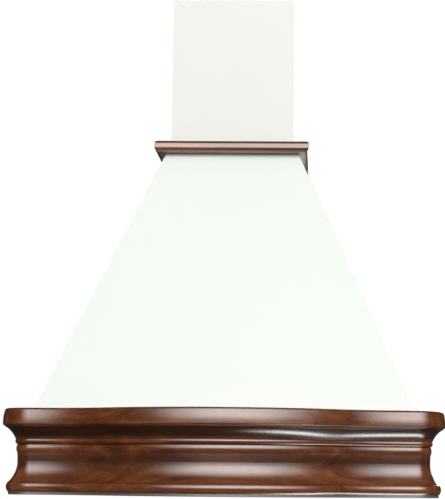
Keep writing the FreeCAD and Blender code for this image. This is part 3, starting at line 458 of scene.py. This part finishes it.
def add_expanded_sheet(mesh, low, high, z, lean, start):
    """Expanded metal: zigzag strands that meet at their knuckles."""
    rows = int((high.y - low.y) / STRAND_RISE)
    steps = int((high.x - low.x) / STRAND_STEP)
    rise = (high.y - low.y) / rows
    step = (high.x - low.x) / steps
    for row in range(rows):
        middle = low.y + rise * (row + 0.5)
        points = []
        for k in range(steps + 1):
            swing = rise / 2 * (1 if (k + row + start) % 2 else -1)
            inside = min(max(middle + swing, low.y + STRAND_WIDTH / 2), high.y - STRAND_WIDTH / 2)
            points.append((low.x + step * k, inside, z))
        add_strand(mesh, points, lean)


def add_filter_weave(side, material):
    """Two layers of expanded aluminium in place of the plain filter sheet."""
    node = "filter_mesh_" + side
    low, high = (Vector(corner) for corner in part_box(node))
    mesh = bmesh.new()
    room = STRAND_THICK / 2 + STRAND_LEAN
    add_expanded_sheet(mesh, low, high, low.z + room, STRAND_LEAN, 0)
    add_expanded_sheet(mesh, low, high, high.z - room, -STRAND_LEAN, 1)
    weave = piece_from(mesh, "filter_weave_" + side, material, "filter_" + side)
    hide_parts(node)


def add_disc(mesh, centre, radius, profile, spokes=32):
    """A lathed form about a vertical axis: profile is a list of (share of radius, z)."""
    rings = []
    for share, z in profile:
        ring = []
        for k in range(spokes):
            turn = 2 * math.pi * k / spokes
            x = centre.x + radius * share * math.cos(turn)
            y = centre.y + radius * share * math.sin(turn)
            ring.append(mesh.verts.new((x, y, z)))
        rings.append(ring)
    for a, b in zip(rings, rings[1:]):
        for k in range(spokes):
            m = (k + 1) % spokes
            mesh.faces.new((a[k], a[m], b[m], b[k]))
    mesh.faces.new(rings[0][::-1])
    mesh.faces.new(rings[-1])


def lamp_middles():
    """The middle of each lamp lens, left and right, and the radius of a lens."""
    low, high = (Vector(corner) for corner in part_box("lamp_lenses"))
    middle_y = (low.y + high.y) / 2
    radius = (high.y - low.y) / 2
    return [Vector((sign * (high.x - radius), middle_y, high.z)) for sign in (-1, 1)], radius


def add_lamp_boards(board_material, chip_material):
    """The white board behind each lens, with its ring of diodes."""
    middles, radius = lamp_middles()
    boards = bmesh.new()
    chips = bmesh.new()
    for middle in middles:
        base = middle.z + BOARD_RISE
        board = [(1.0, base), (1.0, base + BOARD_THICK), (0.97, base + BOARD_CROWN)]
        add_disc(boards, middle, radius * BOARD_SHARE, board)
        diode = [(share, base - depth) for share, depth in DIODE_PROFILE]
        for k in range(DIODES_IN_RING + 1):
            turn = 2 * math.pi * k / DIODES_IN_RING
            reach = 0.0 if k == DIODES_IN_RING else radius * DIODE_RING_SHARE
            place = middle + Vector((reach * math.cos(turn), reach * math.sin(turn), 0))
            add_disc(chips, place, DIODE_RADIUS, diode, DIODE_SPOKES)
    piece_from(boards, "lamp_boards", board_material, "hood")
    piece_from(chips, "lamp_chips", chip_material, "hood")


def screw_height(x, y, radius):
    """Height of a pan head over its rim, with a cross recess."""
    reach = math.hypot(x, y) / radius
    dome = HEAD_CROWN * radius * math.sqrt(max(1.0 - reach ** 2.6, 0.0))
    arm = min(abs(x), abs(y)) / (RECESS_ARM * radius)
    length = max(abs(x), abs(y)) / (RECESS_LENGTH * radius)
    cut = min(max(1.25 - arm, 0.0), 1.0) * min(max(3.2 * (1.0 - length), 0.0), 1.0)
    return dome - RECESS_DEPTH * radius * cut


def add_screw_head(mesh, centre, radius, spokes=40, rings=14):
    """A pan head that looks down, its rim against the sheet at centre."""
    crown = mesh.verts.new((centre.x, centre.y, centre.z - screw_height(0, 0, radius)))
    rows = []
    for i in range(1, rings + 1):
        reach = radius * i / rings
        row = []
        for k in range(spokes):
            turn = 2 * math.pi * (k + 0.5) / spokes
            x, y = reach * math.cos(turn), reach * math.sin(turn)
            row.append(mesh.verts.new((centre.x + x, centre.y + y, centre.z - screw_height(x, y, radius))))
        rows.append(row)
    for k in range(spokes):
        mesh.faces.new((crown, rows[0][(k + 1) % spokes], rows[0][k]))
    for a, b in zip(rows, rows[1:]):
        for k in range(spokes):
            m = (k + 1) % spokes
            mesh.faces.new((a[k], a[m], b[m], b[k]))
    mesh.faces.new(rows[-1])


def screw_extents(node):
    """Low x, high x, low y, high y and low z of each screw in a node that holds a set."""
    clusters = []
    for vertex in frame["nodes"][node].data.vertices:
        place = vertex.co
        for cluster in clusters:
            if math.hypot(place.x - cluster[0].x, place.y - cluster[0].y) < SCREW_SPACING:
                cluster.append(place)
                break
        else:
            clusters.append([place])
    extents = []
    for cluster in clusters:
        xs = [place.x for place in cluster]
        ys = [place.y for place in cluster]
        lowest = min(place.z for place in cluster)
        extents.append((min(xs), max(xs), min(ys), max(ys), lowest))
    return extents


def add_tray_screw_heads(material):
    """Pan heads with a cross recess under the tray, over the plain heads of the screws."""
    mesh = bmesh.new()
    for low_x, high_x, low_y, high_y, low_z in screw_extents("tray_screws"):
        radius = (high_x - low_x) / 2
        rise = screw_height(0.5 * radius, 0.5 * radius, radius)
        centre = Vector(((low_x + high_x) / 2, (low_y + high_y) / 2, low_z + rise))
        add_screw_head(mesh, centre, radius * SCREW_COVER)
    piece_from(mesh, "tray_screw_heads", material, "hood")


# ---- stage and light ----
WORLD_FILL = 0.22
FRONT_POWER = 257.0
RIGHT_POWER = 60.0
LEFT_POWER = 34.0
BACK_POWER = 90.0
GLOSS_POWER = 700.0
LOW_POWER = 5.5
FLOOR_GLOW = 0.70
FLOOR_SIZE = 30.0
FLOOR_LEVEL = -0.5
TENT_RADIUS = 7.0
TENT_FOOT = -0.46
TENT_RINGS = 10
TENT_SPOKES = 48


def add_floor():
    """A wide pale floor under the object."""
    mesh = bmesh.new()
    bmesh.ops.create_grid(mesh, x_segments=8, y_segments=8, size=FLOOR_SIZE)
    data = bpy.data.meshes.new("studio_floor")
    mesh.to_mesh(data)
    mesh.free()
    floor = bpy.data.objects.new("studio_floor", data)
    floor.location = (0, 0, FLOOR_LEVEL)
    floor.data.materials.append(floor_material())
    floor.visible_diffuse = False
    scene.collection.objects.link(floor)


def add_area(name, place, aim, size, power):
    """A white rectangular lamp that looks at a point."""
    data = bpy.data.lights.new(name, "AREA")
    data.shape = "RECTANGLE"
    data.size = size[0]
    data.size_y = size[1]
    data.energy = power
    data.use_nodes = True
    lamp = bpy.data.objects.new(name, data)
    direction = Vector(aim) - Vector(place)
    lamp.rotation_euler = direction.to_track_quat("-Z", "Y").to_euler()
    lamp.location = place
    scene.collection.objects.link(lamp)
    return lamp


def set_world():
    """White for what the camera, gloss and glass see, and a plain fill for the rest."""
    world = bpy.data.worlds.new("studio")
    world.use_nodes = True
    tree = world.node_tree
    tree.nodes.clear()
    output = tree.nodes.new("ShaderNodeOutputWorld")
    seen = tree.nodes.new("ShaderNodeBackground")
    seen.inputs[0].default_value = (1, 1, 1, 1)
    seen.inputs[1].default_value = 1.0
    fill = tree.nodes.new("ShaderNodeBackground")
    fill.inputs[0].default_value = (1, 1, 1, 1)
    fill.inputs[1].default_value = WORLD_FILL
    path = tree.nodes.new("ShaderNodeLightPath")
    total = path.outputs["Is Camera Ray"]
    for ray in ("Is Glossy Ray", "Is Transmission Ray"):
        either = tree.nodes.new("ShaderNodeMath")
        either.operation = "MAXIMUM"
        tree.links.new(total, either.inputs[0])
        tree.links.new(path.outputs[ray], either.inputs[1])
        total = either.outputs[0]
    mix = tree.nodes.new("ShaderNodeMixShader")
    tree.links.new(total, mix.inputs[0])
    tree.links.new(fill.outputs[0], mix.inputs[1])
    tree.links.new(seen.outputs[0], mix.inputs[2])
    tree.links.new(mix.outputs[0], output.inputs[0])
    scene.world = world


def fade_node(tree, value, start, end, high_first):
    """Smooth step of a value between two places."""
    fade = tree.nodes.new("ShaderNodeMapRange")
    fade.interpolation_type = "SMOOTHSTEP"
    tree.links.new(value, fade.inputs["Value"])
    fade.inputs["From Min"].default_value = start
    fade.inputs["From Max"].default_value = end
    fade.inputs["To Min"].default_value = 1.0 if high_first else 0.0
    fade.inputs["To Max"].default_value = 0.0 if high_first else 1.0
    return fade.outputs[0]


def soften(lamp, side, low, high):
    """Lets a soft box fade out to its sides, its foot and its head."""
    tree = lamp.data.node_tree
    tree.nodes.clear()
    output = tree.nodes.new("ShaderNodeOutputLight")
    emission = tree.nodes.new("ShaderNodeEmission")
    geometry = tree.nodes.new("ShaderNodeNewGeometry")
    parts = tree.nodes.new("ShaderNodeSeparateXYZ")
    tree.links.new(geometry.outputs["Parametric"], parts.inputs[0])
    across, up = parts.outputs[0], parts.outputs[1]
    fades = [
        fade_node(tree, across, 0.0, side, False),
        fade_node(tree, across, 1.0 - side, 1.0, True),
        fade_node(tree, up, 0.0, low, False),
        fade_node(tree, up, high, 1.0, True),
    ]
    total = fades[0]
    for fade in fades[1:]:
        both = tree.nodes.new("ShaderNodeMath")
        both.operation = "MULTIPLY"
        tree.links.new(total, both.inputs[0])
        tree.links.new(fade, both.inputs[1])
        total = both.outputs[0]
    tree.links.new(total, emission.inputs["Strength"])
    tree.links.new(emission.outputs[0], output.inputs[0])


def add_lights():
    """Plain soft lamps for the colour, and soft boxes that only gloss shows."""
    front = add_area("front_lamp", (0.3, -5.6, 2.1), (0, -0.2, 0.45), (3.0, 2.4), FRONT_POWER)
    right = add_area("right_lamp", (3.2, 0.35, 1.0), (0, -0.1, 0.6), (1.8, 1.8), RIGHT_POWER)
    left = add_area("left_lamp", (-3.4, 0.4, 1.2), (0, -0.1, 0.5), (1.8, 1.8), LEFT_POWER)
    back = add_area("back_lamp", (0.5, 3.4, 1.5), (0, 0, 0.4), (2.6, 1.8), BACK_POWER)
    for lamp in (front, right, left):
        lamp.visible_glossy = False
    box = add_area("gloss_box", (0.26, -3.65, 2.05), (0, -0.4, 0.12), (7.8, 4.5), GLOSS_POWER)
    soften(box, 0.44, 0.30, 0.50)
    low = add_area("low_gloss_box", (0.42, -0.585, -0.42), (0.42, -0.585, 1.0), (0.80, 0.18), LOW_POWER)
    soften(low, 0.40, 0.30, 0.70)
    for lamp in (box, low):
        lamp.visible_diffuse = False
    for lamp in (front, right, left, back, box, low):
        lamp.visible_camera = False


def add_tent():
    """Dark studio walls, ceiling and floor patch, there only for what gloss shows."""
    mesh = bmesh.new()
    rows = []
    for i in range(TENT_RINGS + 1):
        tilt = math.radians(-3 + 93 * i / TENT_RINGS)
        reach = TENT_RADIUS * math.cos(tilt)
        height = TENT_RADIUS * math.sin(tilt)
        row = []
        for k in range(TENT_SPOKES):
            turn = 2 * math.pi * k / TENT_SPOKES
            row.append(mesh.verts.new((reach * math.cos(turn), reach * math.sin(turn), height)))
        rows.append(row)
    for low, high in zip(rows, rows[1:]):
        for k in range(TENT_SPOKES):
            m = (k + 1) % TENT_SPOKES
            mesh.faces.new((low[k], low[m], high[m], high[k]))
    foot = []
    for x, y in ((-1, -1), (1, -1), (1, 1), (-1, 1)):
        foot.append(mesh.verts.new((x * TENT_RADIUS, y * TENT_RADIUS, TENT_FOOT)))
    mesh.faces.new(foot)
    data = bpy.data.meshes.new("studio_tent")
    mesh.to_mesh(data)
    mesh.free()
    tent = bpy.data.objects.new("studio_tent", data)
    n = Nodes("studio_tent")
    weave = n.noise(n.coordinates(), 3.0, 2.0, 0.5)
    tone = n.ramp(weave, [(0.3, (0.020, 0.018, 0.017)), (0.7, (0.030, 0.027, 0.025))])
    n.principled(Base_Color=tone, Roughness=0.9)
    data.materials.append(n.material)
    tent.visible_camera = False
    tent.visible_diffuse = False
    tent.visible_shadow = False
    tent.visible_transmission = False
    scene.collection.objects.link(tent)


set_camera()
set_world()
add_floor()
add_tent()
add_lights()
dress_nodes()
scene.view_settings.view_transform = "Standard"
